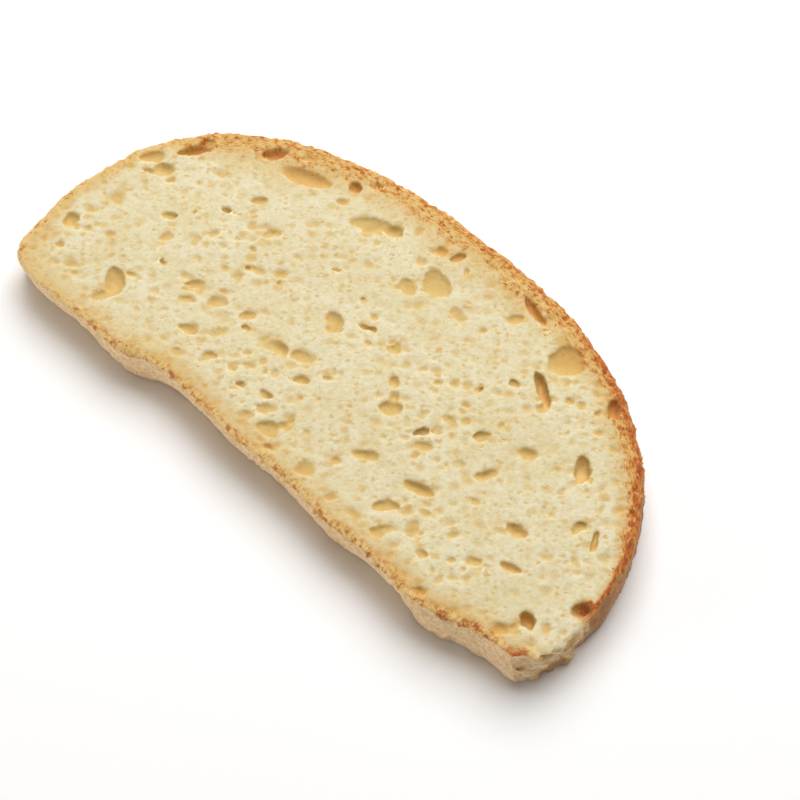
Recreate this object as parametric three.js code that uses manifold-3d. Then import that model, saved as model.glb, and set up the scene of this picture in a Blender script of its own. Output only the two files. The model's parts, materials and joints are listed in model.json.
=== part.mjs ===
// A hand-cut slice of white country bread, lying flat on its lower cut face.
// Millimetres, +Z up. X runs along the loaf's flat base and Y from the base to the crown of the dome.
// The origin is under the middle of the slice's box. The slice is one solid: a slab with a domed
// outline, rough crust walls, a torn corner where the loaf joined its neighbour in the oven, and the
// larger gas bubbles that the knife opened on both cut faces.
import * as THREE from "three";
import { mergeVertices } from "three/addons/utils/BufferGeometryUtils.js";
import Module from "manifold-3d";

const wasm = await Module();
wasm.setup();

// Driving dimensions
const THICKNESS = 13;
const DOME_CENTRE = { x: 9.6, y: -22 };
const DOME_RISE = 66.7;
const REACH_LEFT = 100.5;
const REACH_RIGHT = 79.2;
const ROUNDNESS_LEFT = 2.5;
const ROUNDNESS_RIGHT = 2.15;
const BASE_Y = -40.6;

// The base isn't straight: a heel hangs below it at the left and the right end curls up.
const HEEL = { drop: 4.4, from: -50, to: -38 };
const TOE = { rise: 4.9, from: 54, to: 75 };

// The knife leaned over, so the base's wall runs in under the slice, less so at two places.
const UNDERCUT = 3.8;
const UNDERCUT_ENDS = { from: 47, to: 63 };
const UNDERCUT_GAPS = [
  { x: -43, width: 7, less: 2.7 },
  { x: 26, width: 7, less: 1.3 },
];

// Mesh steps
const OUTLINE_STEPS = 156;
const DOME_STEPS = 26;
const BASE_STEP = 7;

// Rounded corners between the dome's flanks and the base
const RIGHT_CORNER = [[88.6, -26], [87.2, -30.6], [83.6, -35]];
const LEFT_CORNER = [[-84.2, -43.7], [-87.5, -41], [-89, -36], [-90.3, -29]];
const BASE_RIGHT_X = 77;
const BASE_LEFT_X = -79;

// The wall and the two faces as rings: how far in from the outline, and how high
const CRUST_RINGS = [
  { inset: 7, z: 0 },
  { inset: 0.5, z: 0 },
  { inset: -0.4, z: 1.1 },
  { inset: -0.7, z: 4.4 },
  { inset: -0.7, z: 8.4 },
  { inset: -0.5, z: 11.8 },
  { inset: 0.2, z: 12.9 },
  { inset: 3, z: 13 },
];
const CRUMB_RINGS = [0.1, 0.24, 0.45, 0.72];
const CRUMB_SWELL = 0.35;
const CRAG = 0.4;

// The torn corner, where no crust grew
const TEAR = { x: 90, y: -26, reach: 14, depth: 2.2 };
const TEAR_BITES = [
  { x: 85.4, y: -14.6, z: 12.6, long: 5.4, wide: 4.2, deep: 3, turn: 95 },
  { x: 90.2, y: -24.4, z: 6.5, long: 4.6, wide: 3.8, deep: 2.4, turn: 60 },
  { x: 84.6, y: -33.4, z: 11, long: 7, wide: 2.6, deep: 4, turn: 40 },
  { x: 90.5, y: -30.6, z: 2.2, long: 7, wide: 5, deep: 3, turn: 125 },
  { x: 91.2, y: -17.5, z: 2.6, long: 6, wide: 4, deep: 2.6, turn: 95 },
];
const HEEL_STEP = { x: -92, y: -28, z: 10, long: 5, wide: 3.6, deep: 7, turn: 80 };

// The larger bubbles of the upper face: opening length and width, depth and turn from +X in degrees
const UPPER_BUBBLES = [
  { x: -61.5, y: -31, long: 8.5, wide: 6, deep: 1.8, turn: 135 },
  { x: -78.7, y: 1.5, long: 6.2, wide: 4.2, deep: 1.5, turn: 50 },
  { x: -77.5, y: 11.5, long: 11, wide: 3, deep: 2.6, turn: 60 },
  { x: -61.7, y: 25.5, long: 7.5, wide: 3.8, deep: 2.4, turn: 55 },
  { x: -50.5, y: 26, long: 15, wide: 5, deep: 1.6, turn: 20 },
  { x: -39, y: 33, long: 4.4, wide: 3.4, deep: 2.2, turn: 20 },
  { x: -28, y: 27.5, long: 12, wide: 3.8, deep: 0.9, turn: 40 },
  { x: -84, y: -26.3, long: 5.4, wide: 3.8, deep: 1.4, turn: 113 },
  { x: -22, y: 30, long: 5.8, wide: 4, deep: 1.5, turn: 33 },
  { x: -2.5, y: 26.4, long: 9.2, wide: 7, deep: 1.2, turn: 10 },
  { x: -7.3, y: 20.6, long: 6, wide: 4, deep: 0.8, turn: 152 },
  { x: 7.8, y: 23.7, long: 6.2, wide: 4, deep: 0.8, turn: 175 },
  { x: 20.7, y: 38.2, long: 9.2, wide: 2.8, deep: 2.4, turn: -12 },
  { x: 36.4, y: 33, long: 10, wide: 9, deep: 1.6, turn: 0 },
  { x: 37.5, y: 23, long: 11.4, wide: 2.8, deep: 3.2, turn: 146 },
  { x: 60, y: 13.3, long: 8.4, wide: 4.2, deep: 2.4, turn: 133 },
  { x: 54, y: 31.4, long: 6.2, wide: 3.2, deep: 2.6, turn: 140 },
  { x: 47.8, y: 7.1, long: 5.6, wide: 3.4, deep: 1.4, turn: 45 },
  { x: 44.5, y: -4.2, long: 6.4, wide: 2.8, deep: 1.5, turn: 56 },
  { x: -13.2, y: 0.5, long: 6.6, wide: 4.2, deep: 1.4, turn: 153 },
  { x: -37.6, y: -27.3, long: 6, wide: 3, deep: 1.2, turn: 22 },
  { x: -17, y: -15, long: 5.2, wide: 3.7, deep: 1.6, turn: 6 },
  { x: 12.2, y: -34, long: 6, wide: 4.8, deep: 0.9, turn: 34 },
  { x: 19.8, y: -21.1, long: 7, wide: 2.9, deep: 1.4, turn: 28 },
  { x: 35.7, y: -18.7, long: 9.4, wide: 2.8, deep: 1.5, turn: 20 },
  { x: 60, y: -10, long: 6.2, wide: 3, deep: 1.7, turn: 10 },
  { x: 75.4, y: 0.9, long: 6.8, wide: 1.7, deep: 1.6, turn: 116 },
  { x: 65.9, y: -18.3, long: 6.2, wide: 2.4, deep: 1.4, turn: 28 },
  { x: 78, y: -25.2, long: 5, wide: 3.6, deep: 3.4, turn: 162 },
];
const BUBBLE_FACETS = { around: 11, down: 7 };

// The lower face has its own bubbles, spread by a seeded rule and clear of the middle, which stays flat.
const LOWER_BUBBLES = { count: 18, smallest: 3.5, largest: 9, apart: 11, margin: 0.84, seed: 20 };

const smooth = (x, from, to) => THREE.MathUtils.smoothstep(x, from, to);
const bell = (x, centre, width) => Math.exp(-(((x - centre) / width) ** 2));

function seededRandom(seed) {
  let state = seed;
  return () => {
    state = (state * 1664525 + 1013904223) % 4294967296;
    return state / 4294967296;
  };
}

// A point of the dome, from the right flank over the crown to the left flank, on two joined superellipses
function domePoint(angle) {
  const c = Math.cos(angle);
  const s = Math.sin(angle);
  const roundness = c < 0 ? ROUNDNESS_LEFT : ROUNDNESS_RIGHT;
  const reach = c < 0 ? -REACH_LEFT : REACH_RIGHT;
  const x = DOME_CENTRE.x + reach * Math.abs(c) ** (2 / roundness);
  const y = DOME_CENTRE.y + DOME_RISE * Math.abs(s) ** (2 / roundness);
  return new THREE.Vector3(x, y, 0);
}

function baseY(x) {
  const heel = HEEL.drop * (1 - smooth(x, HEEL.from, HEEL.to));
  const toe = TOE.rise * smooth(x, TOE.from, TOE.to);
  return BASE_Y - heel + toe + 0.4 * Math.sin(x / 5.3);
}

// The outline as evenly spaced points, anticlockwise seen from above
function outlinePoints() {
  const knots = [];
  for (let i = 0; i <= DOME_STEPS; i++) knots.push(domePoint((Math.PI * i) / DOME_STEPS));
  for (const [x, y] of [...LEFT_CORNER].reverse()) knots.push(new THREE.Vector3(x, y, 0));
  for (let x = BASE_LEFT_X; x <= BASE_RIGHT_X; x += BASE_STEP) {
    knots.push(new THREE.Vector3(x, baseY(x), 0));
  }
  for (const [x, y] of [...RIGHT_CORNER].reverse()) knots.push(new THREE.Vector3(x, y, 0));
  const curve = new THREE.CatmullRomCurve3(knots, true, "centripetal");
  return curve.getSpacedPoints(OUTLINE_STEPS).slice(0, OUTLINE_STEPS);
}

function inwardNormals(points) {
  const count = points.length;
  return points.map((p, i) => {
    const before = points[(i + count - 2) % count];
    const after = points[(i + 2) % count];
    return new THREE.Vector3(before.y - after.y, after.x - before.x, 0).normalize();
  });
}

// How far the wall has run in under the slice at a height, along the base only
function undercutAt(point, inward, z) {
  let amount = UNDERCUT * (1 - smooth(point.x, UNDERCUT_ENDS.from, UNDERCUT_ENDS.to));
  for (const gap of UNDERCUT_GAPS) amount -= gap.less * bell(point.x, gap.x, gap.width);
  const facing = smooth(inward.y, 0.6, 0.95);
  return Math.max(amount, 0) * facing * (1 - Math.min(z / THICKNESS, 1));
}

// The crust's bumps, and the deeper ragged teeth of the torn corner
function cragAt(point, i, z, random) {
  const wave = Math.sin(i * 1.9 + z * 0.7) + Math.sin(i * 0.83 - z * 0.45 + 2);
  const torn = bell(Math.hypot(point.x - TEAR.x, point.y - TEAR.y), 0, TEAR.reach);
  return CRAG * 0.5 * wave * (1 - torn) + TEAR.depth * torn * (0.2 + random());
}

function slabSolid() {
  const outline = outlinePoints();
  const inward = inwardNormals(outline);
  const random = seededRandom(7);
  const vertices = [];
  const triangles = [];
  const addVertex = (x, y, z) => vertices.push(x, y, z) / 3 - 1;
  const rings = CRUST_RINGS.map(({ inset, z }) =>
    outline.map((p, i) => {
      const onWall = z > 0 && z < THICKNESS - 0.5;
      const crag = onWall ? cragAt(p, i, z, random) : CRAG;
      const shift = inset + crag + undercutAt(p, inward[i], z);
      return addVertex(p.x + inward[i].x * shift, p.y + inward[i].y * shift, z);
    }),
  );
  const crustTop = CRUST_RINGS[CRUST_RINGS.length - 1];
  for (const share of CRUMB_RINGS) {
    rings.push(
      outline.map((p, i) => {
        const x = (p.x + inward[i].x * crustTop.inset) * (1 - share);
        const y = (p.y + inward[i].y * crustTop.inset) * (1 - share);
        return addVertex(x, y, THICKNESS + CRUMB_SWELL * Math.sin(x / 11) * Math.cos(y / 9));
      }),
    );
  }
  const lowCentre = addVertex(0, 0, 0);
  const highCentre = addVertex(0, 0, THICKNESS);
  const last = rings[rings.length - 1];
  for (let i = 0; i < OUTLINE_STEPS; i++) {
    const j = (i + 1) % OUTLINE_STEPS;
    triangles.push(lowCentre, rings[0][j], rings[0][i]);
    for (let k = 0; k + 1 < rings.length; k++) {
      triangles.push(rings[k][i], rings[k][j], rings[k + 1][j]);
      triangles.push(rings[k][i], rings[k + 1][j], rings[k + 1][i]);
    }
    triangles.push(last[i], last[j], highCentre);
  }
  return solidFrom(new Float32Array(vertices), new Uint32Array(triangles));
}

function solidFrom(vertProperties, triVerts) {
  return new wasm.Manifold(new wasm.Mesh({ numProp: 3, vertProperties, triVerts }));
}

// A bubble: an egg with a lobed waist, its middle a little inside the face that opens it
function bubbleSolid({ x, y, z, long, wide, deep, turn }) {
  const egg = new THREE.SphereGeometry(1, BUBBLE_FACETS.around, BUBBLE_FACETS.down);
  egg.rotateX(Math.PI / 2);
  egg.deleteAttribute("normal");
  egg.deleteAttribute("uv");
  const ball = mergeVertices(egg, 1e-4);
  const place = ball.getAttribute("position");
  for (let i = 0; i < place.count; i++) {
    const angle = Math.atan2(place.getY(i), place.getX(i));
    const lobe = 1 + 0.09 * Math.sin(2 * angle + x) + 0.07 * Math.sin(3 * angle + y);
    place.setXYZ(i, place.getX(i) * lobe, place.getY(i) * lobe, place.getZ(i));
  }
  ball.scale(long / 2, wide / 2, deep);
  ball.rotateZ(THREE.MathUtils.degToRad(turn));
  ball.translate(x, y, z);
  return solidFrom(place.array, new Uint32Array(ball.index.array));
}

function upperBubbles() {
  return UPPER_BUBBLES.map((b) => bubbleSolid({ ...b, z: THICKNESS - 0.15 * b.deep }));
}

function lowerBubbles() {
  const random = seededRandom(LOWER_BUBBLES.seed);
  const made = [];
  while (made.length < LOWER_BUBBLES.count) {
    const crown = domePoint(Math.acos(THREE.MathUtils.lerp(-1, 1, random())));
    const x = crown.x * LOWER_BUBBLES.margin;
    const y = THREE.MathUtils.lerp(BASE_Y, crown.y, random()) * LOWER_BUBBLES.margin;
    const long = THREE.MathUtils.lerp(LOWER_BUBBLES.smallest, LOWER_BUBBLES.largest, random() ** 2);
    const wide = long * (0.45 + 0.35 * random());
    const turn = 180 * random();
    const alone = made.every((m) => Math.hypot(m.x - x, m.y - y) > LOWER_BUBBLES.apart);
    if (!alone || Math.hypot(x, y) < LOWER_BUBBLES.apart) continue;
    made.push({ x, y, z: 0.3, long, wide, deep: 0.35 * long + 0.8, turn });
  }
  return made.map(bubbleSolid);
}

function breadSlice() {
  let solid = slabSolid();
  const bites = [...TEAR_BITES, HEEL_STEP].map(bubbleSolid);
  for (const hollow of [...upperBubbles(), ...lowerBubbles(), ...bites]) {
    solid = solid.subtract(hollow);
  }
  const { vertProperties, triVerts } = solid.getMesh();
  const geometry = new THREE.BufferGeometry();
  geometry.setAttribute("position", new THREE.BufferAttribute(new Float32Array(vertProperties), 3));
  geometry.setIndex(new THREE.BufferAttribute(new Uint32Array(triVerts), 1));
  geometry.computeVertexNormals();
  geometry.computeBoundingBox();
  const box = geometry.boundingBox;
  geometry.translate(-(box.min.x + box.max.x) / 2, -(box.min.y + box.max.y) / 2, -box.min.z);
  const bread = new THREE.MeshStandardMaterial({ color: 0xe6d7a8, roughness: 0.92, metalness: 0 });
  const mesh = new THREE.Mesh(geometry, bread);
  mesh.name = "bread_slice";
  return mesh;
}

const slice = new THREE.Group();
slice.add(breadSlice());
export default slice;
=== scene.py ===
# %% [markdown]
# A slice of white country bread.
#
# The part is one hand-cut slice that lies flat on its lower cut face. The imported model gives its
# outline, its thickness and the larger bubbles. This lesson dresses it: first the camera, the table and
# the light, then the crumb with its hundreds of bubbles, then the browned crust and the floury base.

import json
import math

import bpy
import numpy as np
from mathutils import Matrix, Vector
from mathutils.bvhtree import BVHTree

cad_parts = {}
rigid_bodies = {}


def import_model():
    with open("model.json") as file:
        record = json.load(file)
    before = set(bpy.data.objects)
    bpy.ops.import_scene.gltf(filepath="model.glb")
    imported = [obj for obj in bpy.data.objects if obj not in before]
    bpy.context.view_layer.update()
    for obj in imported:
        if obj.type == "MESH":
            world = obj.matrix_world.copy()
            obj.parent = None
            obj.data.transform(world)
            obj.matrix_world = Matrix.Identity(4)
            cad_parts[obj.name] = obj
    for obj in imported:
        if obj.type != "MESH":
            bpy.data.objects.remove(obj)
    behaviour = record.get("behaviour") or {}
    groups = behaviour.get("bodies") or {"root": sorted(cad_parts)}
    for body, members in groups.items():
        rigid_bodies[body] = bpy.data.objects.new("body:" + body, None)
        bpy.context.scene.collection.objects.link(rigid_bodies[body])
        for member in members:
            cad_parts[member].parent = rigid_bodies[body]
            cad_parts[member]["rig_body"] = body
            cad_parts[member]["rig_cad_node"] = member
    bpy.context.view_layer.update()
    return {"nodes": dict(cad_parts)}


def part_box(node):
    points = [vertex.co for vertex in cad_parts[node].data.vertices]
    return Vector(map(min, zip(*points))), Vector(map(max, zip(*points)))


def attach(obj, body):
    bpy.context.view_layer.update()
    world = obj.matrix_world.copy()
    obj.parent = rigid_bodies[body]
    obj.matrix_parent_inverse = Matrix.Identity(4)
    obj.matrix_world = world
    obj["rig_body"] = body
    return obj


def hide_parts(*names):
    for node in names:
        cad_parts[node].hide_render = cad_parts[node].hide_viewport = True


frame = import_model()
slice_solid = frame["nodes"]["bread_slice"]
slice_low, slice_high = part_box("bread_slice")
MM = 0.001
print("slice, mm:", [round(side / MM, 1) for side in slice_high - slice_low])

# %% [markdown]
# The camera looks down on the slice from the front right corner, sixty degrees above the table, so both
# the cut face and the base's wall show. A long lens from half a metre keeps the slice nearly undistorted.
# It is aimed with a quaternion that points its -Z axis at the target, which needs no constraint.

# %% Camera
CAMERA_TURN = math.radians(45)
CAMERA_RISE = math.radians(60)
CAMERA_LENS = 100
CAMERA_REACH = 0.55
CAMERA_AIM = Vector((16.4, -4.5, 13.0)) * MM


def point_at(thing, target):
    """Turns a lamp or a camera so that it looks at the target."""
    thing.rotation_mode = "QUATERNION"
    thing.rotation_quaternion = (target - thing.location).to_track_quat("-Z", "Y")


def add_camera():
    level = math.cos(CAMERA_RISE)
    back = Vector((math.sin(CAMERA_TURN) * level, -math.cos(CAMERA_TURN) * level, math.sin(CAMERA_RISE)))
    bpy.ops.object.camera_add(location=CAMERA_AIM + back * CAMERA_REACH)
    camera = bpy.context.object
    camera.data.lens = CAMERA_LENS
    point_at(camera, CAMERA_AIM)
    bpy.context.scene.camera = camera


add_camera()

# %% [markdown]
# The slice lies on a plain white table, and one big soft lamp hangs behind and above it. Its shadow then
# falls forward, dark only where the base's wall leans in over the table. A small lamp low in front keeps
# that wall readable, and a weak warm sky fills the rest, as the walls of a studio tent do. The plain
# "Standard" view keeps the colours as they are mixed.

# %% Table, lamps and sky
TABLE_SIZE = 4
TABLE_WHITE = 0.97
SKY_COLOUR = (1.0, 0.94, 0.88, 1.0)
SKY_STRENGTH = 0.17
# place, size across in metres and power in watts
LAMPS = {
    "softbox": (Vector((-0.30, 0.55, 1.05)), 1.2, 20.4),
    "front_fill": (Vector((-0.35, -0.90, 0.16)), 0.3, 2.4),
}


def add_table():
    bpy.ops.mesh.primitive_plane_add(size=TABLE_SIZE, location=(0, 0, 0))
    table = bpy.context.object
    table.name = "table"
    paint = bpy.data.materials.new("table_white")
    paint.use_nodes = True
    shader = paint.node_tree.nodes["Principled BSDF"]
    shader.inputs["Base Color"].default_value = (TABLE_WHITE, TABLE_WHITE, TABLE_WHITE, 1)
    shader.inputs["Roughness"].default_value = 0.9
    table.data.materials.append(paint)


def add_light():
    for name, (place, size, power) in LAMPS.items():
        bpy.ops.object.light_add(type="AREA", location=place)
        lamp = bpy.context.object
        lamp.name = name
        lamp.data.size = size
        lamp.data.energy = power
        point_at(lamp, Vector((0, 0, 0)))
    sky = bpy.data.worlds.new("studio_sky")
    sky.use_nodes = True
    sky.node_tree.nodes["Background"].inputs["Color"].default_value = SKY_COLOUR
    sky.node_tree.nodes["Background"].inputs["Strength"].default_value = SKY_STRENGTH
    bpy.context.scene.world = sky
    bpy.context.scene.view_settings.view_transform = "Standard"


add_table()
add_light()

# %% [markdown]
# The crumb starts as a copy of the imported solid, whose triangles are loose, so its doubles are merged.
# The solid itself is the fixed frame and is left alone. Only one thing may be selected when an operator
# runs, so a small helper deselects the rest first.

# %% A copy of the solid
WELD = 0.01 * MM


def select_only(thing):
    bpy.ops.object.select_all(action="DESELECT")
    thing.select_set(True)
    bpy.context.view_layer.objects.active = thing


def copy_of(thing, name):
    select_only(thing)
    bpy.ops.object.duplicate()
    copy = bpy.context.object
    copy.name = name
    copy.parent = None
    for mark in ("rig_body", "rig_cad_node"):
        if mark in copy:
            del copy[mark]
    return copy


def welded_copy(thing, name):
    copy = copy_of(thing, name)
    bpy.ops.object.mode_set(mode="EDIT")
    bpy.ops.mesh.select_all(action="SELECT")
    bpy.ops.mesh.remove_doubles(threshold=WELD)
    bpy.ops.object.mode_set(mode="OBJECT")
    bpy.ops.object.shade_smooth()
    return copy


crumb = welded_copy(slice_solid, "slice")
print("copy:", len(crumb.data.vertices), "points,", len(crumb.data.polygons), "faces")

# %% [markdown]
# A gas bubble is an egg with an uneven waist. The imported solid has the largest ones, and here the knife
# opens some forty more of middling size. Each is an ico sphere pressed to its length, width and depth,
# turned, leaned a little so that one side of its mouth is crisp and the other fades, and then cut out
# with a Boolean. The Manifold solver is made for such closed shapes and takes milliseconds for each.

# %% Bubbles of middling size
# x, y, length, width, depth in millimetres, turn and lean in degrees
BUBBLES = [
    (-65.9, 11.0, 4.7, 3.2, 0.7, 45, 12),
    (-52.6, 30.7, 5.3, 2.2, 1.4, 35, 0),
    (-42.3, 7.6, 5.2, 2.9, 1.3, 45, 10),
    (-80.3, -11.6, 6.1, 3.8, 0.7, 76, 14),
    (-71.7, -22.7, 2.7, 2.4, 1.0, 45, 0),
    (-78.5, -33.5, 2.3, 2.2, 1.2, 45, 0),
    (-38.6, -7.6, 4.0, 2.3, 0.9, 137, 10),
    (-36.1, -2.9, 4.0, 2.7, 0.7, 33, 8),
    (-26.3, 2.6, 3.2, 3.0, 0.7, 45, 8),
    (-26.4, -10.2, 3.8, 3.0, 0.9, 45, 8),
    (-30.9, -23.6, 4.0, 2.4, 0.7, 45, 10),
    (-5.6, 8.0, 3.6, 2.5, 1.2, 22, 0),
    (-7.2, 34.5, 3.6, 3.0, 1.7, 45, 0),
    (1.6, 34.4, 3.1, 1.8, 1.0, 134, 0),
    (-1.2, 1.8, 2.8, 2.2, 1.2, 171, 0),
    (11.7, -1.6, 3.8, 3.0, 1.6, 135, 6),
    (14.8, -4.8, 2.7, 3.0, 1.4, 45, 0),
    (39.0, 8.2, 2.8, 2.2, 1.2, 78, 0),
    (39.4, -6.4, 2.9, 2.7, 0.7, 45, 8),
    (53.6, 2.0, 2.8, 2.6, 0.9, 45, 0),
    (62.1, 5.0, 3.2, 1.8, 1.2, 87, 0),
    (64.3, -1.2, 2.3, 2.2, 0.9, 45, 0),
    (62.9, -9.5, 3.5, 2.8, 1.4, 176, 6),
    (76.6, -31.5, 4.4, 3.3, 1.7, 45, 0),
    (84.1, -23.5, 2.9, 1.2, 1.3, 119, 0),
    (85.9, -15.2, 4.6, 2.6, 1.9, 96, 0),
    (1.2, -29.8, 3.9, 2.0, 1.4, 39, 0),
    (6.5, -27.1, 3.8, 2.2, 1.0, 23, 0),
    (10.5, -29.5, 4.2, 3.2, 0.7, 23, 10),
    (17.3, -27.3, 4.6, 1.9, 1.6, 23, 0),
    (23.4, -35.3, 3.5, 3.2, 1.2, 45, 0),
    (34.1, -26.2, 2.5, 2.5, 0.9, 45, 0),
    (39.0, -25.2, 3.9, 2.7, 0.7, 45, 8),
    (29.4, -0.2, 5.3, 3.0, 0.7, 176, 10),
    (-8.5, -26.8, 4.3, 1.9, 0.9, 2, 6),
    (-5.3, -29.1, 6.0, 2.2, 0.7, 39, 8),
    (56.5, -37.9, 4.0, 2.0, 1.3, 39, 0),
]
# how far a bubble's middle lies above the cut face, as a share of its depth
BUBBLE_RISE = 0.2
# how many lobes and how much they swell the waist
BUBBLE_LOBES = ((2, 0.10), (3, 0.08), (5, 0.03))


def lobed(point, seed):
    """A point of the egg, moved out or in by its lobes."""
    angle = math.atan2(point.y, point.x)
    swell = 1 + sum(size * math.sin(count * angle + seed * count) for count, size in BUBBLE_LOBES)
    return Vector((point.x * swell, point.y * swell, point.z))


def bubble_shape(x, y, long, wide, deep, turn, lean, face_height):
    bpy.ops.mesh.primitive_ico_sphere_add(subdivisions=3, radius=1)
    egg = bpy.context.object
    for vertex in egg.data.vertices:
        vertex.co = lobed(vertex.co, x + y)
    egg.scale = Vector((long / 2, wide / 2, deep)) * MM
    egg.rotation_euler = (math.radians(lean), 0, math.radians(turn))
    egg.location = Vector((x, y, face_height + BUBBLE_RISE * deep)) * MM
    bpy.ops.object.transform_apply(location=True, rotation=True, scale=True)
    return egg


def cut_out(body, hollow):
    select_only(body)
    cut = body.modifiers.new("bubble", "BOOLEAN")
    cut.operation = "DIFFERENCE"
    cut.solver = "MANIFOLD"
    cut.object = hollow
    bpy.ops.object.modifier_apply(modifier=cut.name)
    bpy.data.objects.remove(hollow)


# the upper cut face, in millimetres above the table
FACE_HEIGHT = 13.0
for bubble in BUBBLES:
    cut_out(crumb, bubble_shape(*bubble, FACE_HEIGHT))
select_only(crumb)
bpy.ops.object.shade_smooth()
print("bubbles cut:", len(BUBBLES), "faces now:", len(crumb.data.polygons))

# %% [markdown]
# Crust and crumb differ by how far they lie from the loaf's outside, so that distance is needed twice: to
# keep the small bubbles out of the crust, and later to brown it. A guide gives it. The copy is bisected
# halfway up and both halves are cleared, which leaves the slice's outline as a loop of edges.

# %% Outline guide
outline = welded_copy(slice_solid, "outline_guide")
HALFWAY = slice_high.z / 2
bpy.ops.object.mode_set(mode="EDIT")
bpy.ops.mesh.select_all(action="SELECT")
bpy.ops.mesh.bisect(plane_co=(0, 0, HALFWAY), plane_no=(0, 0, 1), clear_inner=True, clear_outer=True)
bpy.ops.object.mode_set(mode="OBJECT")
print("outline guide:", len(outline.data.edges), "edges")

# %% [markdown]
# The small bubbles are far too many to place by hand. Bread dough is a foam, so the crumb is made as one:
# a grid of points fills the slice's box, each point gets the distance to the nearest bubble wall, and a
# skin is drawn where that distance is zero. Voronoi cells are the bubbles' centres, drawn out along the
# way the dough was stretched. Geometry Nodes has a node for each step, and the result is a closed mesh in
# which bubbles meet, break through and are cut by the knife as in real crumb.

# %% Helpers for node trees
# the torn corner, in millimetres
TEAR_PLACE = (93.0, -25.0, 6.0)
TEAR_REACH = 14.0


def add_node(tree, kind, **settings):
    node = tree.nodes.new(kind)
    for name, value in settings.items():
        setattr(node, name, value)
    return node


def feed(tree, value, socket):
    """Plugs an output into a socket, or sets the socket to a plain value."""
    if isinstance(value, bpy.types.NodeSocket):
        tree.links.new(value, socket)
    else:
        socket.default_value = value


def calc(tree, operation, *values):
    node = add_node(tree, "ShaderNodeMath", operation=operation)
    for value, socket in zip(values, node.inputs):
        feed(tree, value, socket)
    return node.outputs[0]


def vector_calc(tree, operation, *values):
    node = add_node(tree, "ShaderNodeVectorMath", operation=operation)
    for value, socket in zip(values, node.inputs):
        feed(tree, value, socket)
    return node.outputs["Value" if operation == "DOT_PRODUCT" else "Vector"]


def scaled(tree, vector, factor):
    node = add_node(tree, "ShaderNodeVectorMath", operation="SCALE")
    feed(tree, vector, node.inputs[0])
    feed(tree, factor, node.inputs["Scale"])
    return node.outputs["Vector"]


def split(tree, place):
    node = add_node(tree, "ShaderNodeSeparateXYZ")
    feed(tree, place, node.inputs[0])
    return node.outputs


def joined(tree, *parts):
    node = add_node(tree, "ShaderNodeCombineXYZ")
    for part, socket in zip(parts, node.inputs):
        feed(tree, part, socket)
    return node.outputs[0]


def turned(tree, place, turn):
    """The place in a pattern that is turned by so many degrees."""
    spin = add_node(tree, "ShaderNodeVectorRotate", rotation_type="Z_AXIS")
    feed(tree, place, spin.inputs["Vector"])
    spin.inputs["Angle"].default_value = -math.radians(turn)
    return spin.outputs[0]


def centred(tree, value):
    """A pattern of 0 to 1, moved so that it swings about 0."""
    return calc(tree, "SUBTRACT", value, 0.5)


def rest_of(tree, share):
    """What the share leaves over of the whole."""
    return calc(tree, "SUBTRACT", 1.0, share)


def ramped(tree, value, start, end, low=0.0, high=1.0):
    """A smooth step from low at start to high at end."""
    node = add_node(tree, "ShaderNodeMapRange", interpolation_type="SMOOTHSTEP")
    for part, socket in zip((value, start, end, low, high), node.inputs):
        feed(tree, part, socket)
    return node.outputs[0]


def noise(tree, place, fineness, detail=2.0, roughness=0.5):
    node = add_node(tree, "ShaderNodeTexNoise")
    feed(tree, place, node.inputs["Vector"])
    node.inputs["Scale"].default_value = fineness
    node.inputs["Detail"].default_value = detail
    node.inputs["Roughness"].default_value = roughness
    return node


def wobble(tree, place, fineness, amount, detail=2.0):
    """A vector that wanders up to the amount, for bending a pattern."""
    cloud = noise(tree, place, fineness, detail)
    middle = vector_calc(tree, "SUBTRACT", cloud.outputs["Color"], (0.5, 0.5, 0.5))
    return scaled(tree, middle, calc(tree, "MULTIPLY", amount, 2.0))


def tear_distance(tree, place):
    """Millimetres from the middle of the torn corner."""
    away = vector_calc(tree, "SUBTRACT", place, TEAR_PLACE)
    return calc(tree, "SQRT", vector_calc(tree, "DOT_PRODUCT", away, away))


# %% The foam
GRID_STEP = 0.42 * MM
GRID_MARGIN = 1.2 * MM
# outside the grid there is no bread
NO_BREAD = -5.0


def signed_depth(tree, surface, place):
    """Millimetres inside the surface, negative outside it."""
    near = add_node(tree, "GeometryNodeProximity", target_element="FACES")
    feed(tree, surface, near.inputs["Geometry"])
    feed(tree, place, near.inputs["Sample Position"])
    facing = add_node(tree, "GeometryNodeSampleNearestSurface", data_type="FLOAT_VECTOR")
    feed(tree, surface, facing.inputs["Mesh"])
    feed(tree, add_node(tree, "GeometryNodeInputNormal").outputs[0], facing.inputs["Value"])
    feed(tree, place, facing.inputs["Sample Position"])
    away = vector_calc(tree, "SUBTRACT", place, near.outputs["Position"])
    side = calc(tree, "SIGN", vector_calc(tree, "DOT_PRODUCT", away, facing.outputs["Value"]))
    return calc(tree, "MULTIPLY", calc(tree, "MULTIPLY", near.outputs["Distance"], -1 / MM), side)


def crust_distance(tree, place):
    """Millimetres in from the loaf's outside, measured level."""
    guide = add_node(tree, "GeometryNodeObjectInfo")
    guide.inputs["Object"].default_value = outline
    near = add_node(tree, "GeometryNodeProximity", target_element="EDGES")
    feed(tree, guide.outputs["Geometry"], near.inputs["Geometry"])
    level = vector_calc(tree, "MULTIPLY_ADD", place, (1, 1, 0), (0, 0, HALFWAY))
    feed(tree, level, near.inputs["Sample Position"])
    return calc(tree, "DIVIDE", near.outputs["Distance"], MM)


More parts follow.
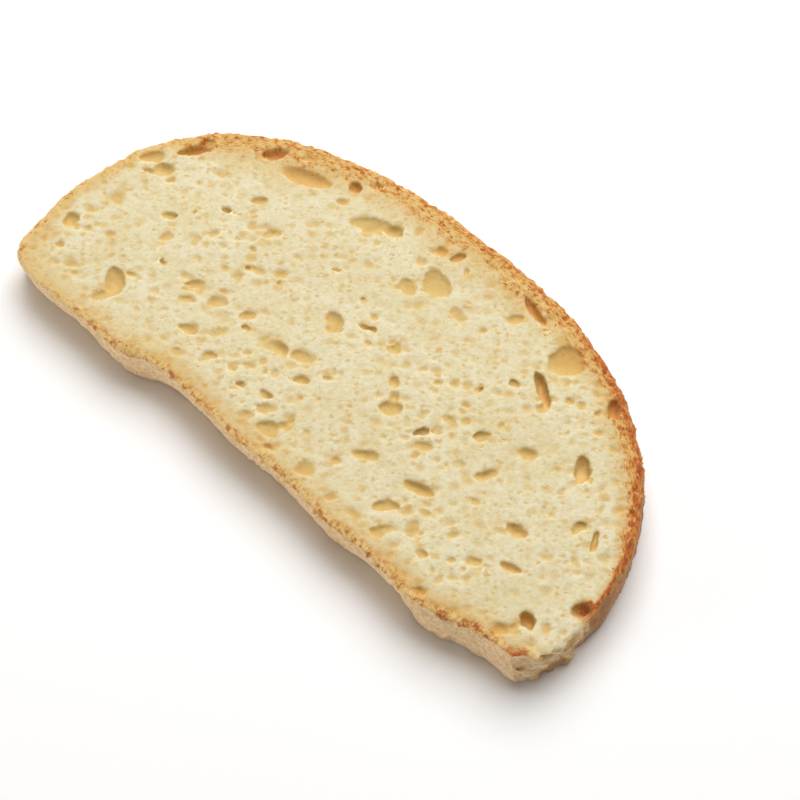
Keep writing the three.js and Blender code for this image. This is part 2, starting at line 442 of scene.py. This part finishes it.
def bubble_layer(tree, place, cell, stretch, turn, smallest, largest, evenness, shift):
    """Millimetres to the nearest bubble wall, negative inside a bubble."""
    size = (1 / cell / stretch, 1 / cell, 1 / cell)
    cells = vector_calc(tree, "MULTIPLY_ADD", turned(tree, place, turn), size, shift)
    bubbles = add_node(tree, "ShaderNodeTexVoronoi")
    feed(tree, cells, bubbles.inputs["Vector"])
    bubbles.inputs["Scale"].default_value = 1.0
    pick = add_node(tree, "FunctionNodeSeparateColor")
    feed(tree, bubbles.outputs["Color"], pick.inputs[0])
    share = calc(tree, "POWER", pick.outputs[0], evenness)
    radius = calc(tree, "MULTIPLY_ADD", share, largest - smallest, smallest)
    return calc(tree, "MULTIPLY", calc(tree, "SUBTRACT", bubbles.outputs["Distance"], radius), cell)


def ragged_place(tree, here, place, torn):
    """The place moved a little about, which roughens the walls, and by far more at the torn corner."""
    rag = calc(tree, "MULTIPLY_ADD", torn, 1.8, 0.55)
    strands = vector_calc(tree, "MULTIPLY", place, (0.45, 0.45, 1.0))
    strand_rag = calc(tree, "MULTIPLY", torn, 1.6)
    ragged = vector_calc(tree, "ADD", wobble(tree, place, 0.3, rag), wobble(tree, place, 0.9, 0.8, 3.0))
    ragged = vector_calc(tree, "ADD", ragged, wobble(tree, strands, 0.9, strand_rag))
    ragged = vector_calc(tree, "MULTIPLY", ragged, (1, 1, 0.35))
    return vector_calc(tree, "MULTIPLY_ADD", ragged, (MM, MM, MM), here)


def fill_grid(tree, density):
    """The points of the grid, each with the density at its place."""
    grid = add_node(tree, "GeometryNodeVolumeCube")
    feed(tree, density, grid.inputs["Density"])
    grid.inputs["Background"].default_value = NO_BREAD
    low = slice_low - Vector((GRID_MARGIN,) * 3)
    high = slice_high + Vector((GRID_MARGIN,) * 3)
    grid.inputs["Min"].default_value = low
    grid.inputs["Max"].default_value = high
    for axis, side in zip("XYZ", high - low):
        grid.inputs["Resolution " + axis].default_value = int(side / GRID_STEP)
    return grid.outputs[0]


def foam_tree():
    tree = bpy.data.node_groups.new("foam", "GeometryNodeTree")
    tree.interface.new_socket("Geometry", in_out="INPUT", socket_type="NodeSocketGeometry")
    tree.interface.new_socket("Geometry", in_out="OUTPUT", socket_type="NodeSocketGeometry")
    body = add_node(tree, "NodeGroupInput").outputs[0]
    result = add_node(tree, "NodeGroupOutput").inputs[0]
    here = add_node(tree, "GeometryNodeInputPosition").outputs[0]
    place = scaled(tree, here, 1 / MM)
    z = split(tree, place)[2]
    from_top = calc(tree, "SUBTRACT", FACE_HEIGHT, z)
    from_cut = calc(tree, "MINIMUM", z, from_top)

    from_crust = crust_distance(tree, here)
    torn = ramped(tree, tear_distance(tree, place), TEAR_REACH, TEAR_REACH / 3)
    slab = signed_depth(tree, body, ragged_place(tree, here, place, torn))
    crag = centred(tree, noise(tree, place, 0.5, 3.0, 0.6).outputs[0])
    rim = calc(tree, "MULTIPLY", ramped(tree, from_crust, 2.5, 0.5), ramped(tree, from_cut, 0.1, 1.2))
    slab = calc(tree, "ADD", slab, calc(tree, "MULTIPLY", crag, calc(tree, "MULTIPLY", rim, 1.6)))

    bent = vector_calc(tree, "ADD", wobble(tree, place, 0.12, 2.2, 1.0), wobble(tree, place, 0.6, 0.45))
    bent = vector_calc(tree, "ADD", place, bent)
    right = ramped(tree, vector_calc(tree, "DOT_PRODUCT", place, (0.92, 0.39, 0.0)), 42.0, 62.0)
    left = rest_of(tree, right)
    solid = rest_of(tree, torn)

    def layer(cell, stretch, turn, smallest, largest, evenness, shift, face, deepest, skin, where=0.0):
        """One size of bubble, no deeper than it may be and clear of the crust by its skin."""
        wall = bubble_layer(tree, bent, cell, stretch, turn, smallest, largest, evenness, shift)
        floor = ramped(tree, face, 0.5 * deepest, 1.3 * deepest, 0.0, 0.8 * cell)
        closed = ramped(tree, from_crust, 0.3 * skin, skin, 0.6 * cell, 0.0)
        closed = calc(tree, "MULTIPLY", closed, solid)
        shut = calc(tree, "ADD", calc(tree, "ADD", floor, closed), calc(tree, "MULTIPLY", where, cell))
        return calc(tree, "ADD", wall, shut)

    # cell, stretch, turn, smallest, largest, evenness, shift, which face, deepest, skin, where not
    small = layer(2.4, 1.5, 45, -0.15, 0.5, 1.0, (3.0, 7.0, 4.0), from_top, 0.75, 1.4)
    middling = layer(4.2, 1.8, 42, -0.3, 0.44, 1.8, (11.0, 1.0, 8.0), from_cut, 1.6, 3.0, right)
    upright = layer(3.8, 1.9, 115, -0.3, 0.44, 1.8, (2.0, 9.0, 3.0), from_cut, 1.6, 3.0, left)
    soft = calc(tree, "SMOOTH_MIN", slab, small, 1.0)
    bread = calc(tree, "SMOOTH_MIN", soft, calc(tree, "MINIMUM", middling, upright), 0.7)
    bread = calc(tree, "MINIMUM", bread, calc(tree, "SUBTRACT", slice_high.z / MM, z))
    bread = calc(tree, "MINIMUM", bread, z)

    skin = add_node(tree, "GeometryNodeVolumeToMesh")
    feed(tree, fill_grid(tree, bread), skin.inputs["Volume"])
    skin.inputs["Threshold"].default_value = 0.0
    feed(tree, skin.outputs[0], result)
    return tree


def turn_to_foam(body):
    select_only(body)
    foam = body.modifiers.new("foam", "NODES")
    foam.node_group = foam_tree()
    bpy.ops.object.modifier_apply(modifier=foam.name)


turn_to_foam(crumb)
print("foam:", len(crumb.data.vertices), "points,", len(crumb.data.polygons), "faces")

# %% [markdown]
# Some bubbles end up sealed inside, where no knife opened them. They can't be seen, so everything that
# isn't linked to the outer skin is deleted. The grid leaves fine stairs on the skin, which a Smooth
# modifier takes off. Then the mesh is thinned: Decimate keeps the edges of the bubbles and takes triangles
# out of the flats between them. The long triangles that it leaves on the walls get a second smoothing,
# and last, whatever hangs below the table is laid on it.

# %% Clean and thin
MOST_TRIANGLES = 196000
SOFTENING_ROUNDS = 3
WALL_ROUNDS = 2
SOFTNESS = 0.5
# a wall's normals point up or down by less than this
WALL_TILT = 0.5
FAR_BELOW = Vector((0, 0, -1))


def keep_outer_skin(body):
    select_only(body)
    bpy.ops.object.mode_set(mode="EDIT")
    bpy.ops.mesh.select_all(action="DESELECT")
    bpy.ops.object.mode_set(mode="OBJECT")
    lowest = min(body.data.vertices, key=lambda vertex: (vertex.co - FAR_BELOW).length)
    lowest.select = True
    bpy.ops.object.mode_set(mode="EDIT")
    bpy.ops.mesh.select_linked()
    bpy.ops.mesh.select_all(action="INVERT")
    bpy.ops.mesh.delete(type="VERT")
    bpy.ops.object.mode_set(mode="OBJECT")


def soften(body):
    select_only(body)
    soft = body.modifiers.new("soften", "SMOOTH")
    soft.factor = SOFTNESS
    soft.iterations = SOFTENING_ROUNDS
    bpy.ops.object.modifier_apply(modifier=soft.name)


def thin_out(body):
    """Fewer triangles, taken from where the surface is flattest."""
    triangles = sum(len(face.vertices) - 2 for face in body.data.polygons)
    select_only(body)
    thin = body.modifiers.new("thin", "DECIMATE")
    thin.ratio = min(1.0, MOST_TRIANGLES / triangles)
    bpy.ops.object.modifier_apply(modifier=thin.name)
    bpy.ops.object.shade_smooth()


def points_of(body):
    flat = np.empty(3 * len(body.data.vertices))
    body.data.vertices.foreach_get("co", flat)
    return flat.reshape(-1, 3)


def lay_on_table(body):
    points = points_of(body)
    points[:, 2] = np.maximum(points[:, 2], 0.0)
    body.data.vertices.foreach_set("co", points.ravel())
    body.data.update()


def soften_walls(body):
    """Evens out the long triangles that thinning leaves on the upright walls."""
    facing = np.array([normal.vector.z for normal in body.data.vertex_normals])
    walls = body.vertex_groups.new(name="walls")
    walls.add(np.flatnonzero(np.abs(facing) < WALL_TILT).tolist(), 1.0, "REPLACE")
    select_only(body)
    soft = body.modifiers.new("soften_walls", "SMOOTH")
    soft.factor = SOFTNESS
    soft.iterations = WALL_ROUNDS
    soft.vertex_group = walls.name
    bpy.ops.object.modifier_apply(modifier=soft.name)
    body.vertex_groups.clear()


keep_outer_skin(crumb)
soften(crumb)
thin_out(crumb)
soften_walls(crumb)
lay_on_table(crumb)
print("slice:", len(crumb.data.vertices), "points,", len(crumb.data.polygons), "faces")

# %% [markdown]
# The finish needs to know three things at every point: how far in from the domed crust it lies, how far in
# from the base, and how deep in a bubble it sits. They are measured once, here, and stored on the mesh as
# attributes, which follow the slice wherever it goes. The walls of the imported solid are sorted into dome,
# base and torn corner by their place and the way they face, and a search tree answers how near each is.
# A point of the wall itself is no bubble, so its depth is never more than its distance from the wall.

# %% Measures for the finish
BASE_LEVEL = -34.0 * MM
WALL_STEEPNESS = 0.75
WALL_REACH = 3.0 * MM
SLICE_MIDDLE = Vector((0.0, -15.0, 0.0)) * MM
FACE_CELL = 3.0 * MM


def wall_trees():
    """Search trees over the base's wall, the domed crust's wall and the torn corner's."""
    solid = slice_solid.data
    points = [vertex.co for vertex in solid.vertices]
    rim = BVHTree.FromPolygons(*ribbon(outline))
    walls = {"base": [], "dome": [], "tear": []}
    for face in solid.polygons:
        steep = abs(face.normal.z) < WALL_STEEPNESS
        near = rim.find_nearest(Vector((face.center.x, face.center.y, HALFWAY)))[3] < WALL_REACH
        outward = face.normal.xy.dot((face.center - SLICE_MIDDLE).xy) > 0
        if not (steep and near and outward):
            continue
        if (face.center / MM - Vector(TEAR_PLACE)).length < TEAR_REACH - 2:
            side = "tear"
        else:
            side = "base" if face.center.y < BASE_LEVEL and face.normal.y < 0 else "dome"
        walls[side].append(tuple(face.vertices))
    print("wall faces:", {side: len(faces) for side, faces in walls.items()})
    return {side: BVHTree.FromPolygons(points, faces) for side, faces in walls.items()}


def ribbon(guide):
    """The outline as a thin upright band of faces."""
    low = [vertex.co for vertex in guide.data.vertices]
    high = [point + Vector((0, 0, MM)) for point in low]
    count = len(low)
    faces = [(a, b, b + count, a + count) for a, b in (edge.vertices for edge in guide.data.edges)]
    return low + high, faces


def face_depth(points):
    """Millimetres below the nearer cut face, whose height is the highest point near by."""
    cells = np.floor(points[:, :2] / FACE_CELL).astype(int)
    cells -= cells.min(axis=0) - 1
    upper = points[:, 2] > HALFWAY
    depth = np.zeros(len(points))
    for rows, sign in ((upper, 1.0), (~upper, -1.0)):
        height = np.full(cells.max(axis=0) + 2, -np.inf)
        np.maximum.at(height, (cells[rows, 0], cells[rows, 1]), sign * points[rows, 2])
        around = [np.roll(height, (i, j), axis=(0, 1)) for i in (-1, 0, 1) for j in (-1, 0, 1)]
        height = np.max(around, axis=0)
        depth[rows] = height[cells[rows, 0], cells[rows, 1]] - sign * points[rows, 2]
    return depth / MM


def store(body, name, values):
    attribute = body.data.attributes.new(name, "FLOAT", "POINT")
    attribute.data.foreach_set("value", np.asarray(values, dtype=np.float32))


def measure(body):
    points = points_of(body)
    depth = face_depth(points)
    for side, tree in wall_trees().items():
        gap = np.array([tree.find_nearest(Vector(point))[3] / MM for point in points])
        depth = np.minimum(depth, gap)
        if side != "tear":
            store(body, "from_" + side, gap)
    store(body, "bubble_depth", depth)
    print("deepest bubble, mm:", round(float(depth.max()), 1))


measure(crumb)

# %% [markdown]
# Crumb is pale cream and lets light in, so the thin walls glow and the bubbles are never black. Its colour
# is a little yellower in patches and along fibres. Down in the dimples and bubbles, a warm tan is painted
# on as shade and bounced light, and the torn corner gets painted shade toward the table. The browned crust
# is a band of grains along the dome that goes from gold to reddish brown, and the base keeps a pinkish coat
# of flour over a thin burnt line. All patterns are built from Object coordinates in millimetres and from
# the stored measures.

# %% Colours
def mixed(red, green, blue):
    """A colour given as a painter's 0 to 255 values, as the renderer's own light values."""
    light = [((part / 255 + 0.055) / 1.055) ** 2.4 for part in (red, green, blue)]
    return (*light, 1.0)


CREAM = mixed(227, 219, 189)
BUTTER = mixed(216, 199, 146)
# painted shade: the warm tan of shade and bounced light in the shallow bubbles and dimples
PAINTED_BUBBLE_SHADE = mixed(211, 183, 118)
PRICK_TAN = mixed(205, 166, 92)
# painted shade: the tan deep in the bubbles, and redder deep in them near the crust
PAINTED_DEEP_SHADE = mixed(228, 186, 120)
PAINTED_CRUST_BUBBLE_SHADE = mixed(206, 140, 78)
PALE_CRUST = mixed(219, 188, 126)
GOLD = mixed(210, 166, 92)
TOASTED = mixed(188, 110, 48)
BURNT = mixed(156, 74, 34)
FLOUR = mixed(240, 212, 170)
FLOUR_SHADE = mixed(220, 180, 128)
OUTER_CRUST = mixed(196, 152, 104)
SCORCHED = mixed(166, 110, 62)
TORN_PALE = mixed(238, 218, 176)
# a tan for the torn layers, and also the painted shade of the torn corner near the table
TORN_TAN_AND_SHADE = mixed(212, 168, 112)

# %% The finish
# the way the dough was stretched, in degrees
DOUGH_TURN = 45
# cell in millimetres, stretch, turn, largest radius as a share of the cell, and share of the cells
WIDE_DIMPLES = (3.2, 1.4, DOUGH_TURN, 0.56, 0.9)
FINE_DIMPLES = (1.6, 1.3, DOUGH_TURN, 0.55, 0.85)
PRICKS = (2.6, 1.4, DOUGH_TURN, 0.4, 0.5)
CRUST_PITS = (1.5, 1.3, 0, 0.6, 0.9)
DIMPLE_DEPTH = 0.45
RELIEF_STRENGTH = 0.42
RELIEF_HEIGHT = 0.45 * MM
ROUGHNESS = 0.82
SHINE = 0.3
# how much light the crumb lets in, how far it gets, and how far each of red, green and blue
GLOW = 0.85
GLOW_REACH = 2.0 * MM
GLOW_TINT = (1.0, 0.95, 0.85)


def attribute(tree, name):
    node = add_node(tree, "ShaderNodeAttribute", attribute_type="GEOMETRY", attribute_name=name)
    return node.outputs["Fac"]


def blend(tree, share, first, second):
    """Two colours mixed, which are the node's sockets 6 and 7."""
    node = add_node(tree, "ShaderNodeMix", data_type="RGBA")
    feed(tree, share, node.inputs["Factor"])
    feed(tree, first, node.inputs[6])
    feed(tree, second, node.inputs[7])
    return node.outputs[2]


def dimples(tree, place, cell, stretch, turn, largest, share):
    """Shallow hollows of many sizes: 1 in their middle and 0 around them, in a share of all cells."""
    size = (1 / cell / stretch, 1 / cell, 1 / cell)
    cells = vector_calc(tree, "MULTIPLY", turned(tree, place, turn), size)
    hollows = add_node(tree, "ShaderNodeTexVoronoi", voronoi_dimensions="2D")
    feed(tree, cells, hollows.inputs["Vector"])
    hollows.inputs["Scale"].default_value = 1.0
    pick = add_node(tree, "ShaderNodeSeparateColor")
    feed(tree, hollows.outputs["Color"], pick.inputs[0])
    radius = ramped(tree, pick.outputs[0], 1.0 - share, 1.0, 0.001, largest)
    middle = calc(tree, "MULTIPLY", radius, 0.15)
    hollow = ramped(tree, hollows.outputs["Distance"], radius, middle)
    return calc(tree, "MULTIPLY", hollow, ramped(tree, pick.outputs[1], 0.0, 1.0, 0.3, 1.0))


def crumb_colour(tree, place, hollow, pricked, near_crust):
    """Cream with butter-yellow fibres, and a painted shade of warm tan where the surface sinks."""
    patches = ramped(tree, noise(tree, place, 0.09, 3.0).outputs[0], 0.35, 0.7)
    drawn = vector_calc(tree, "MULTIPLY", turned(tree, place, DOUGH_TURN), (0.7, 1.1, 1.1))
    streaks = ramped(tree, noise(tree, drawn, 1.1, 4.0, 0.7).outputs[0], 0.38, 0.64)
    yellow = calc(tree, "MULTIPLY_ADD", streaks, 0.65, calc(tree, "MULTIPLY", patches, 0.25))
    yellow = calc(tree, "ADD", yellow, calc(tree, "MULTIPLY", near_crust, 0.4))
    surface = blend(tree, yellow, CREAM, BUTTER)
    surface = blend(tree, calc(tree, "MULTIPLY", near_crust, 0.3), surface, GOLD)
    depth = attribute(tree, "bubble_depth")
    mottle = ramped(tree, noise(tree, place, 0.8, 3.0, 0.6).outputs[0], 0.4, 0.65)
    # painted shade: a mottled warm tan stands for the shade and bounced light in dimples and bubbles
    shade_tan = blend(tree, calc(tree, "MULTIPLY", mottle, 0.6), PAINTED_BUBBLE_SHADE, GOLD)
    shade_tan = blend(tree, near_crust, shade_tan, GOLD)
    # the painted shade grows with the dimples and with the depth below the cut face
    sunk = calc(tree, "MAXIMUM", calc(tree, "MULTIPLY", hollow, 0.85), ramped(tree, depth, 0.06, 0.8))
    shallow = blend(tree, sunk, surface, shade_tan)
    shallow = blend(tree, calc(tree, "MULTIPLY", pricked, 0.8), shallow, PRICK_TAN)
    # deeper bubbles get a painted shade of their own, redder near the crust
    deep = blend(tree, calc(tree, "MULTIPLY", mottle, 0.6), PAINTED_DEEP_SHADE, GOLD)
    deep = blend(tree, calc(tree, "MULTIPLY", near_crust, 0.9), deep, PAINTED_CRUST_BUBBLE_SHADE)
    return blend(tree, ramped(tree, depth, 1.5, 4.5), shallow, deep)


def crust_colour(tree, toast):
    """Gold where the crust baked least, reddish brown where it baked most."""
    pale = blend(tree, ramped(tree, toast, 0.12, 0.4), PALE_CRUST, GOLD)
    brown = blend(tree, ramped(tree, toast, 0.42, 0.72), pale, TOASTED)
    return blend(tree, ramped(tree, toast, 0.78, 1.1), brown, BURNT)


def crust_width(tree, place, x, y, left_end):
    """Millimetres of browned crust: less at both ends, and nowhere quite even."""
    width = calc(tree, "MULTIPLY_ADD", left_end, -3.2, ramped(tree, x, 15, 55, 5.0, 3.8))
    right_end = calc(tree, "MULTIPLY", ramped(tree, y, 20, -4), ramped(tree, x, 30, 60))
    width = calc(tree, "SUBTRACT", width, calc(tree, "MULTIPLY", right_end, 2.6))
    spread = noise(tree, place, 0.06, 2.0).outputs[0]
    return calc(tree, "MULTIPLY", width, ramped(tree, spread, 0.35, 0.65, 0.85, 1.25))


def baked_grain(tree, place, z, dome_gap):
    """Grains and clumps of brown, drawn out along the crust."""
    inward = calc(tree, "MULTIPLY_ADD", dome_gap, 1.6, z)
    along = vector_calc(tree, "MULTIPLY_ADD", place, (0.75, 0.75, 0.0), joined(tree, 0.0, 0.0, inward))
    grains = ramped(tree, noise(tree, along, 1.3, 3.0, 0.65).outputs[0], 0.36, 0.66)
    clumps = ramped(tree, noise(tree, along, 0.55, 3.0, 0.6).outputs[0], 0.36, 0.66)
    return calc(tree, "MULTIPLY_ADD", clumps, 0.36, calc(tree, "MULTIPLY", grains, 0.4))


def edge_burn(tree, x, dome_gap, left_end):
    """What the crust's outer edge baked more, above all toward the right."""
    burn = calc(tree, "MULTIPLY", ramped(tree, dome_gap, 2.4, 0.4), ramped(tree, x, -20, 60, 0.12, 0.34))
    burn = calc(tree, "MULTIPLY_ADD", left_end, -0.25, burn)
    return calc(tree, "ADD", burn, ramped(tree, x, 20, 70, 0.0, 0.1))


def torn_colour(tree, place, z):
    """Layers of pale crumb, with painted shade that darkens them toward the table."""
    flat = vector_calc(tree, "MULTIPLY", place, (0.4, 0.4, 1.3))
    layers = noise(tree, flat, 0.9, 4.0, 0.65).outputs[0]
    paint = blend(tree, ramped(tree, layers, 0.4, 0.6), TORN_PALE, TORN_TAN_AND_SHADE)
    # painted shade: the lowest six millimetres darken toward the table
    return blend(tree, ramped(tree, z, 6.0, 0.0, 0.0, 0.8), paint, TORN_TAN_AND_SHADE)


def outer_colour(tree, place, toast, dusting):
    """The loaf's outside: browned, dusted with flour and scorched in patches."""
    paint = blend(tree, calc(tree, "MULTIPLY", dusting, 0.5), OUTER_CRUST, crust_colour(tree, toast))
    scorched = ramped(tree, noise(tree, place, 0.11, 4.0, 0.6).outputs[0], 0.4, 0.62, 0.0, 0.6)
    return blend(tree, scorched, paint, SCORCHED)


def relief(tree, place, hollow, pitted, in_crust, on_wall):
    """A fine grain with dimples in the crumb and pits in the crust, but none on the walls."""
    grain = noise(tree, place, 2.0, 4.0, 0.7).outputs[0]
    pick = add_node(tree, "ShaderNodeMix", data_type="FLOAT")
    feed(tree, in_crust, pick.inputs[0])
    feed(tree, hollow, pick.inputs[2])
    feed(tree, pitted, pick.inputs[3])
    sunk = calc(tree, "MULTIPLY", pick.outputs[0], rest_of(tree, on_wall))
    bump = add_node(tree, "ShaderNodeBump")
    feed(tree, calc(tree, "MULTIPLY_ADD", sunk, -DIMPLE_DEPTH, grain), bump.inputs["Height"])
    bump.inputs["Strength"].default_value = RELIEF_STRENGTH
    bump.inputs["Distance"].default_value = RELIEF_HEIGHT
    return bump.outputs[0]


def bread_finish():
    paint = bpy.data.materials.new("bread")
    paint.use_nodes = True
    tree = paint.node_tree
    place = scaled(tree, add_node(tree, "ShaderNodeTexCoord").outputs["Object"], 1 / MM)
    x, y, z = split(tree, place)
    torn = ramped(tree, tear_distance(tree, place), TEAR_REACH, TEAR_REACH - 4)
    whole = rest_of(tree, torn)

    bent = vector_calc(tree, "ADD", place, wobble(tree, place, 0.9, 0.9, 4.0))
    hollow = calc(tree, "MAXIMUM", dimples(tree, bent, *WIDE_DIMPLES), dimples(tree, bent, *FINE_DIMPLES))
    pricked = dimples(tree, bent, *PRICKS)
    pitted = dimples(tree, bent, *CRUST_PITS)

    dome_gap = attribute(tree, "from_dome")
    base_gap = attribute(tree, "from_base")
    edge = centred(tree, noise(tree, place, 0.4, 4.0, 0.7).outputs[0])
    left_end = calc(tree, "MULTIPLY", ramped(tree, y, 16, 6), ramped(tree, x, -50, -70))
    inward = calc(tree, "DIVIDE", dome_gap, crust_width(tree, place, x, y, left_end))
    dome_edge = calc(tree, "ADD", inward, calc(tree, "MULTIPLY", edge, 2.2))
    in_dome = calc(tree, "MULTIPLY", ramped(tree, dome_edge, 1.3, 0.7), whole)
    base_edge = calc(tree, "MULTIPLY_ADD", edge, 3.6, base_gap)
    in_base = calc(tree, "MULTIPLY", ramped(tree, base_edge, 3.0, 0.8, 0.0, 0.9), whole)

    baked = baked_grain(tree, place, z, dome_gap)
    burn = edge_burn(tree, x, dome_gap, left_end)
    line_spots = ramped(tree, edge, -0.04, 0.08, -0.2, 0.3)
    rim_line = calc(tree, "MULTIPLY", ramped(tree, base_gap, 1.5, 0.5), line_spots)
    toast = calc(tree, "ADD", calc(tree, "ADD", baked, calc(tree, "MULTIPLY", pitted, 0.45)), burn)
    crust_paint = crust_colour(tree, calc(tree, "ADD", toast, rim_line))
    # painted shade: the crust's opened bubbles redden and darken with their depth
    painted_crust_shade = ramped(tree, attribute(tree, "bubble_depth"), 0.8, 2.5, 0.0, 0.7)
    crust_paint = blend(tree, painted_crust_shade, crust_paint, PAINTED_CRUST_BUBBLE_SHADE)

    near_dome = ramped(tree, inward, 2.6, 1.0)
    specks = ramped(tree, noise(tree, place, 1.1, 2.0, 0.6).outputs[0], 0.6, 0.68)
    specks = calc(tree, "MULTIPLY", specks, calc(tree, "MULTIPLY", near_dome, whole))
    in_dome = calc(tree, "MAXIMUM", in_dome, specks)
    near_crust = calc(tree, "MAXIMUM", near_dome, ramped(tree, base_gap, 8.0, 2.5))
    crumb_paint = crumb_colour(tree, place, hollow, pricked, near_crust)
    torn_wall = calc(tree, "MULTIPLY", ramped(tree, z, 12.7, 11.7), torn)
    colour = blend(tree, torn_wall, crumb_paint, torn_colour(tree, place, z))
    colour = blend(tree, in_dome, colour, crust_paint)
    colour = blend(tree, in_base, colour, crust_paint)

    facing = add_node(tree, "ShaderNodeNewGeometry").outputs["Normal"]
    upward = calc(tree, "ABSOLUTE", vector_calc(tree, "DOT_PRODUCT", facing, (0, 0, 1)))
    upright = ramped(tree, upward, 0.75, 0.5)
    dusting = ramped(tree, noise(tree, place, 0.9, 5.0, 0.75).outputs[0], 0.4, 0.62)
    on_dome = calc(tree, "MULTIPLY", upright, whole)
    on_dome = calc(tree, "MULTIPLY", ramped(tree, dome_gap, 1.4, 0.8), on_dome)
    flour_edge = calc(tree, "MULTIPLY_ADD", edge, 6.0, base_gap)
    on_base = calc(tree, "MULTIPLY", ramped(tree, flour_edge, 3.2, 0.8), upright)
    outer = outer_colour(tree, place, calc(tree, "ADD", baked, burn), dusting)
    colour = blend(tree, on_dome, colour, outer)
    colour = blend(tree, on_base, colour, blend(tree, dusting, FLOUR, FLOUR_SHADE))

    shader = tree.nodes["Principled BSDF"]
    feed(tree, colour, shader.inputs["Base Color"])
    shader.inputs["Roughness"].default_value = ROUGHNESS
    shader.inputs["Specular IOR Level"].default_value = SHINE
    shader.subsurface_method = "BURLEY"
    shader.inputs["Subsurface Weight"].default_value = GLOW
    shader.inputs["Subsurface Radius"].default_value = GLOW_TINT
    shader.inputs["Subsurface Scale"].default_value = GLOW_REACH
    in_crust = calc(tree, "MAXIMUM", in_dome, in_base)
    on_wall = calc(tree, "MAXIMUM", on_base, on_dome)
    feed(tree, relief(tree, place, hollow, pitted, in_crust, on_wall), shader.inputs["Normal"])
    return paint


crumb.data.materials.clear()
crumb.data.materials.append(bread_finish())

# %% [markdown]
# Last, the slice takes the imported solid's place and rides on the model's one body.

# %% Hand over
bpy.data.objects.remove(outline)
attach(crumb, "root")
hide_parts("bread_slice")
